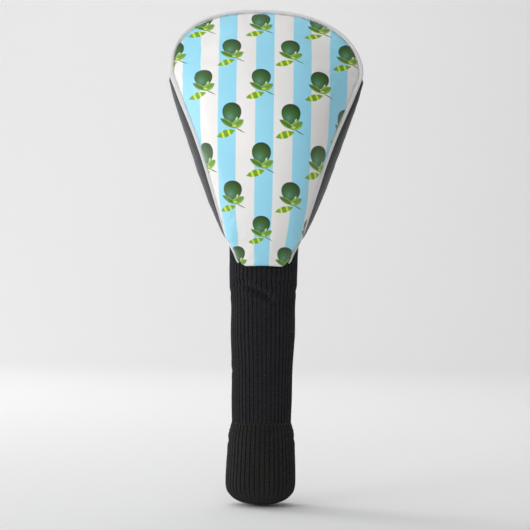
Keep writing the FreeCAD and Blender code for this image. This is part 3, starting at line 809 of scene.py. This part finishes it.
for label, side in (("left", -1), ("right", 1)):
    outer, cutSize, cutArea = sewGusset(label + "_side_gusset", side, coverForm["hem"], 0.0,
                                        gussetCloth["fabric"], nylonFacedNeoprene)
    finish(outer, label + "_gusset", "shell")
    inner, cutSize, cutArea = sewGusset(label + "_side_fleece", side, 202.0, gussetCloth["liningDepth"] + 0.2,
                                        gussetCloth["lining"], brushedFleece)
    finish(inner, label + "_gusset_lining", "shell")
print("gussets sewn")


# Piping with its cord

pipingRun = {"start": 174.6, "taperEnd": 191.0, "thinRadius": 0.7, "step": 1.1, "wobble": 0.05,
             "crownStart": 309.0, "crownEnd": 340.0, "crownRadius": 1.15, "cordRadius": 1.0, "tuckIn": 1.1}


def seamTrack():
    form = coverForm
    low = np.linspace(pipingRun["start"], form["tip"], 160)
    turn = np.radians(np.linspace(0, 90, 120)[1:])
    high = form["tip"] + (form["top"] - form["tip"]) * np.sin(turn)
    z = np.concatenate([low, high])
    right = np.stack([halfWidth(z), frontSeamDepth(z), z], axis=1)
    tuck = pipingRun["tuckIn"] * (1 - smoothStep(z, pipingRun["start"], pipingRun["taperEnd"]))
    right[:, 0] -= 0.3 * tuck
    right[:, 1] += 0.9 * tuck
    right[-1, 0] = 0
    left = right[::-1][1:] * (-1, 1, 1)
    return evenPoints(np.vstack([right, left]), pipingRun["step"])


track = leaned(seamTrack())
share = smoothStep(track[:, 2], pipingRun["start"], pipingRun["taperEnd"])
thick = pipingRun["thinRadius"] + (coverForm["pipingRadius"] - pipingRun["thinRadius"]) * share
overCrown = smoothStep(track[:, 2], pipingRun["crownStart"], pipingRun["crownEnd"])
thick -= (coverForm["pipingRadius"] - pipingRun["crownRadius"]) * overCrown    # pulled tight over the crown
wobble = np.array([noise.noise(Vector((i * 0.17, 0.5, 2.5))) for i in range(len(track))])
piping = sweepTube("edge_piping", track, thick * (1 + pipingRun["wobble"] * wobble), whiteBiasTape, 16)
finish(piping, "front_piping", "shell")
filler = np.minimum(thick - 0.35, pipingRun["cordRadius"]) * 0.86
cord = sweepTube("piping_filler", track, filler, twistedCotton, 14, twist=(3, 7.0, 0.16))
finish(cord, "front_piping_cord", "shell")
print("piping swept")


# Rib-knit sock

knitSock = {
    "ribs": 44, "columnsPerRib": 12, "step": 1.25, "wall": 1.8, "ribDepth": 0.5, "waleDepth": 0.28,
    "outline": [(24.9, 198), (25.0, 190), (24.6, 182), (24.4, 170), (24.1, 161), (23.3, 150), (22.9, 141),
                (23.0, 127), (22.4, 113), (21.8, 99), (21.5, 77), (21.1, 63), (21.0, 54), (21.2, 46)],
    "wander": 0.045,
    # soft folds: angle from the front, height, half length, tilt in degrees, depth
    "folds": [(-0.06, 152.5, 11.5, -27, 3.6), (0.5, 161, 9, -12, 1.1), (-0.75, 160, 8, 16, 0.8),
              (1.5, 155, 9, -20, 0.35), (-1.7, 151, 10, 24, 0.4), (2.7, 158, 10, -18, 1.2),
              (-2.6, 149, 9, 22, 0.8), (1.1, 120, 10, -14, 0.35), (-1.3, 98, 10, 12, 0.35),
              (2.2, 92, 11, -12, 0.4), (0.4, 83, 11, 10, 0.25)],
    "swell": 0.35,
}


# how ribs wander and swell; a fold's bow, the width of its valley, and each lip's height, place and width
ribShape = {"wanderPerMillimetre": 0.021, "wanderStart": 1.0, "swellRound": 1.3, "swellAlong": 0.035,
            "valleyPower": 6, "walePower": 0.8}
foldShape = {"bow": 0.012, "valley": 2.0, "lipAbove": (0.7, 4.2, 3.0), "lipBelow": (0.35, -3.4, 2.4)}


def ribHeight(column, ribDepth, waleDepth):
    # two rounded wales to a rib, with a deeper valley between ribs
    wale = np.abs(np.sin(2 * math.pi * column)) ** ribShape["walePower"]
    valley = np.abs(np.cos(math.pi * column)) ** ribShape["valleyPower"]
    return ribDepth * (0.5 - valley) + waleDepth * (wale - 0.5)


def foldDent(turn, z, radius, folds):
    # a valley with a soft lip above and below it
    total = np.zeros_like(turn)
    for angle, height, halfLength, tilt, depth in folds:
        away = (turn - angle + math.pi) % (2 * math.pi) - math.pi
        x, y = away * radius, z - height
        c, s = math.cos(math.radians(tilt)), math.sin(math.radians(tilt))
        along, offset = x * c + y * s, -x * s + y * c
        offset = offset + foldShape["bow"] * along ** 2
        window = np.exp(-(along / halfLength) ** 4)
        dent = -np.exp(-(offset / foldShape["valley"]) ** 2)
        for lip in ("lipAbove", "lipBelow"):
            tall, middle, wide = foldShape[lip]
            dent += tall * np.exp(-((offset - middle) / wide) ** 2)
        total += depth * window * dent
    return total


def ribbedTube(name, outline, wallOutline, knit, material, gather=None):
    # outline: outside rows (radius, height) from top to bottom; wallOutline: the inside rows back up
    outer = smoothCurve(outline, knit["step"])
    inner = smoothCurve(wallOutline, knit["step"] * 3)
    rows = np.vstack([outer, inner])
    ribShare = np.concatenate([np.ones(len(outer)), np.full(len(inner), 0.25)])
    ribShare[:2] = (0.5, 0.9)
    ribs = knit["ribs"]
    columns = ribs * knit["columnsPerRib"]
    column = np.arange(columns) / knit["columnsPerRib"]
    turn = (column / ribs) * 2 * math.pi - math.pi          # 0 faces the front, the join is at the back
    radius, height = rows[:, :1], rows[:, 1:]
    wander = knit["wander"] * np.sin(height * ribShape["wanderPerMillimetre"] + ribShape["wanderStart"])
    turns = np.broadcast_to(turn[None, :], (len(rows), columns)) + wander
    heights = np.broadcast_to(height, turns.shape)
    tooth = ribHeight(column, knit["ribDepth"], knit["waleDepth"])[None, :] * ribShare[:, None]
    swell = np.zeros_like(turns)
    aroundScale, alongScale = ribShape["swellRound"], ribShape["swellAlong"]
    for i in range(len(rows)):
        for j in range(0, columns, knit["columnsPerRib"]):
            around = Vector((math.sin(turn[j]), math.cos(turn[j]), 0)) * aroundScale
            around.z = heights[i, j] * alongScale
            swell[i, j:j + knit["columnsPerRib"]] = noise.noise(around)
    kernel = np.ones(knit["columnsPerRib"] * 2) / (knit["columnsPerRib"] * 2)
    padded = np.concatenate([swell, swell, swell], axis=1)
    swell = np.stack([np.convolve(line, kernel, "same") for line in padded])[:, columns:2 * columns]
    dent = foldDent(turns, heights, radius, knit["folds"])
    across = radius + tooth + knit["swell"] * swell + dent
    if gather is not None:
        across = across + gather(turns, column[None, :], radius, heights)
    points = np.stack([across * np.sin(turns), -across * np.cos(turns), heights], axis=2)
    faces, corners = gridFaces(len(rows), columns, True)
    run = np.concatenate([[0], np.cumsum(np.linalg.norm(np.diff(rows, axis=0), axis=1))])
    run = np.append(run, run[-1] + knit["wall"])
    places = np.stack([corners[:, 1] / knit["columnsPerRib"], run[corners[:, 0]]], axis=1)
    return addPiece(name, points.reshape(-1, 3), faces, material, {"knitPlace": places})


sockOutline = knitSock["outline"]
sockWall = [(r - knitSock["wall"], z) for r, z in reversed(sockOutline)]
sockWall[0] = (sockWall[0][0], sockWall[0][1] - 0.2)
sock = ribbedTube("knit_sock", sockOutline, sockWall, knitSock, tubeKnit)
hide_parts("sock_neck", "sock_tube")
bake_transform(sock)

# Gathered cuff: a doubled band of the same knit, drawn in below to the shaft

knitCuff = {
    "ribs": 44, "columnsPerRib": 12, "step": 1.1, "wall": 1.2, "ribDepth": 0.48, "waleDepth": 0.26,
    "outside": [(20.9, 60.0), (21.6, 57.8), (22.7, 53), (23.5, 48.5), (24.1, 40), (24.5, 33), (25.0, 22),
                (25.1, 17), (24.9, 13.2), (24.0, 9.6), (22.0, 6.7), (18.6, 3.7), (14.4, 1.7), (10.4, 0.6),
                (7.8, 0.4)],
    "inside": [(6.9, 1.0), (6.8, 4.0), (7.4, 6.6), (10.5, 8.0), (15.5, 10.4), (19.6, 14.5), (21.3, 20),
               (21.4, 34), (21.4, 44), (21.3, 52), (20.4, 59.0)],
    "wander": -0.03,
    "folds": [(0.1, 47.0, 13, 3, 0.45), (-1.4, 45.5, 12, -5, 0.5), (1.5, 47.5, 12, 5, 0.4),
              (2.7, 46, 12, -4, 0.5), (-2.5, 48, 11, 5, 0.4)],
    "swell": 0.3, "gatherDepth": 0.9, "gatherStart": 15.0,
}


def drawnIn(turns, column, radius, heights):
    # the elastic pulls the knit into pleats, one to each rib pair, deeper towards the hole
    share = smoothStep(-heights, -knitCuff["gatherStart"], -1.0)
    depth = knitCuff["gatherDepth"] * share * np.clip(radius / 20, 0.3, 1)
    uneven = 0.75 + 0.5 * np.sin(turns * 5 + 1.3) * np.sin(turns * 3 + 0.4)
    return depth * uneven * (np.cos(2 * math.pi * column / 2) ** 2 - 0.5)


cuff = ribbedTube("knit_cuff", knitCuff["outside"], knitCuff["inside"], knitCuff, cuffKnit, drawnIn)
finish(cuff, "sock_cuff", "sock")
print("sock and cuff knitted")


# Small sewn pieces

def ringPath(radius, height, count, rise=0.0, waves=0):
    turn = np.arange(count) * 2 * math.pi / count
    lift = rise * np.sin(turn * waves)
    return np.stack([radius * np.sin(turn), -radius * np.cos(turn), height + lift], axis=1)


cuffElastic = {"radius": 9.4, "height": 3.5, "points": 90, "thick": 0.92, "rise": 0.05, "waves": 11}
ring = ringPath(cuffElastic["radius"], cuffElastic["height"], cuffElastic["points"],
                cuffElastic["rise"], cuffElastic["waves"])
elastic = sweepTube("cuff_elastic_cord", ring, np.full(len(ring), cuffElastic["thick"]), braidedElastic, 16,
                    closed=True, twist=(6, 9.0, 0.1))
finish(elastic, "cuff_elastic", "sock")


def stitchRing(name, ringRadius, height, count, length, lift, thread, material):
    # separate stitches of thread, each dipping into the cloth at both ends
    points, faces = [], []
    sides = 6
    for index in range(count):
        middle = index * 2 * math.pi / count
        path = []
        for share in np.linspace(-0.5, 0.5, 7):
            radius = ringRadius + lift * math.cos(share * math.pi) - 0.25
            turn = middle + share * length / radius
            tilt = 0.25 * math.sin(share * 3)
            path.append((radius * math.sin(turn), -radius * math.cos(turn), height + tilt))
        path = np.array(path)
        for i, spot in enumerate(path):
            outward = Vector((spot[0], spot[1], 0)).normalized()
            size = thread * (0.45 + 0.55 * math.sin(math.pi * i / (len(path) - 1)))
            for k in range(sides):
                angle = 2 * math.pi * k / sides
                points.append(np.array(spot) + np.array(outward) * math.cos(angle) * size
                              + np.array((0, 0, 1)) * math.sin(angle) * size)
        base = index * len(path) * sides
        for i in range(len(path) - 1):
            for k in range(sides):
                a, b = base + i * sides + k, base + i * sides + (k + 1) % sides
                faces.append([a, b, b + sides, a + sides])
        faces.append([base + k for k in range(sides)][::-1])
        faces.append([base + (len(path) - 1) * sides + k for k in range(sides)])
    return addPiece(name, points, faces, material)


stitches = stitchRing("cuff_stitching", 23.15, 53.5, 58, 1.7, 0.35, 0.22, spunThread)
finish(stitches, "cuff_stitch", "sock")


def neckBand():
    # folded grosgrain that binds the sock's top edge inside the shell
    rows = smoothCurve([(20.3, 189.4), (20.25, 193.5), (20.3, 197.2), (20.7, 198.8), (21.15, 197.4),
                        (21.2, 193.5), (21.15, 189.5), (20.7, 189.0)], 0.8)
    columns = 240
    turn = np.arange(columns) * 2 * math.pi / columns
    ripple = 0.06 * np.sin(turn * 60)
    across = rows[:, :1] + ripple[None, :]
    points = np.stack([across * np.sin(turn), -across * np.cos(turn),
                       np.broadcast_to(rows[:, 1:], across.shape)], axis=2)
    faces, corners = gridFaces(len(rows), columns, True)
    return addPiece("neck_band", points.reshape(-1, 3), [f[::-1] for f in faces], grosgrainTape)


band = neckBand()
finish(band, "neck_binding", "shell")
print("small sewn pieces made")


# Floor, light and camera

studio = {"floorHeight": -1.0, "floorFront": -2600.0, "wallStart": 1900.0, "wallBend": 900.0, "wallTop": 3200.0,
          "halfWidth": 4500.0, "paper": "#F4F4F4", "cloud": "#F0F0F0", "airLeft": 0.94, "airRight": 0.0}


def paperSweep():
    # seamless paper: floor, a wide bend, then wall
    turn = np.linspace(0, math.pi / 2, 24)
    depth = studio["wallStart"] + studio["wallBend"] * np.sin(turn)
    tall = studio["floorHeight"] + studio["wallBend"] * (1 - np.cos(turn))
    line = [(studio["floorFront"], studio["floorHeight"])] + list(zip(depth, tall))
    line.append((depth[-1], studio["wallTop"]))
    points = [(side * studio["halfWidth"], y, z) for side in (-1, 1) for y, z in line]
    count = len(line)
    faces = [[i, count + i, count + i + 1, i + 1] for i in range(count - 1)]
    # matt seamless paper: flat pale grey, no gloss
    paper, tree, main = startMaterial("seamlessPaper", {"Roughness": 0.95, "Specular IOR Level": 0.1})
    place = addNode(tree, "TexCoord").outputs["Object"]
    cloud = addNode(tree, "TexNoise", {"Vector": place, "Scale": 0.8, "Detail": 1.0}).outputs[0]
    pale, grey = linearColour(studio["paper"]), linearColour(studio["cloud"])
    tone = addNode(tree, "Mix", {0: cloud, 6: pale, 7: grey}, data_type="RGBA").outputs[2]
    tree.links.new(tone, main.inputs["Base Color"])
    addPiece("paper_sweep", points, faces, paper)


paperSweep()

lights = {   # place, aim, size in millimetres, power in watts, colour
    "keyLeft": ((-1300, -1500, 900), (0, -20, 220), 900, 6.5, "#FFFFFF"),
    "frontFill": ((-100, -2400, 800), (0, -20, 180), 1400, 14, "#FFFFFF"),
    "rimLeft": ((-1900, 1300, 600), (0, 0, 220), 1000, 17, "#FFFFFF"),
    "paperWash": ((-900, 900, 1800), (-300, 2700, 300), 1500, 9, "#FFFFFF"),
    "floorWash": ((-300, 900, 1700), (-300, 800, 0), 1500, 6, "#FFFFFF"),
}
for name, (place, aim, size, power, colour) in lights.items():
    data = bpy.data.lights.new(name, "AREA")
    data.shape, data.size, data.energy = "SQUARE", size * millimetre, power
    data.color = linearColour(colour)[:3]
    lamp = bpy.data.objects.new(name, data)
    lamp.location = Vector(place) * millimetre
    lamp.rotation_euler = (Vector(aim) - Vector(place)).to_track_quat("-Z", "Y").to_euler()
    bpy.context.collection.objects.link(lamp)

world = bpy.data.worlds.new("studioAir")
world.use_nodes = True
air = world.node_tree
around = addNode(air, "TexCoord").outputs["Generated"]
sideways = addNode(air, "SeparateXYZ", [around]).outputs[0]
# the room is brighter on the left, where its window is
brightness = addNode(air, "MapRange", [sideways, -1.0, 1.0, studio["airLeft"], studio["airRight"]]).outputs[0]
air.nodes["Background"].inputs["Color"].default_value = linearColour("#FFFFFF")
air.links.new(brightness, air.nodes["Background"].inputs["Strength"])
bpy.context.scene.world = world
bpy.context.scene.view_settings.view_transform = "Standard"

view = {"distance": 1400.0, "plane": -29.0, "height": 173.0, "across": 1.0, "frameWidth": 376.3, "roll": 0.8,
        "sensor": 36.0}
camera = bpy.data.cameras.new("frontCamera")
camera.sensor_width = view["sensor"]
camera.lens = view["sensor"] * view["distance"] / view["frameWidth"]
camera.clip_end = 20
eye = bpy.data.objects.new("frontCamera", camera)
eye.location = Vector((view["across"], view["plane"] - view["distance"], view["height"])) * millimetre
eye.rotation_euler = (math.pi / 2, 0, 0)
eye.rotation_mode = "XYZ"
bpy.context.collection.objects.link(eye)
eye.rotation_euler.rotate_axis("Z", math.radians(view["roll"]))
bpy.context.scene.camera = eye
print("studio set")
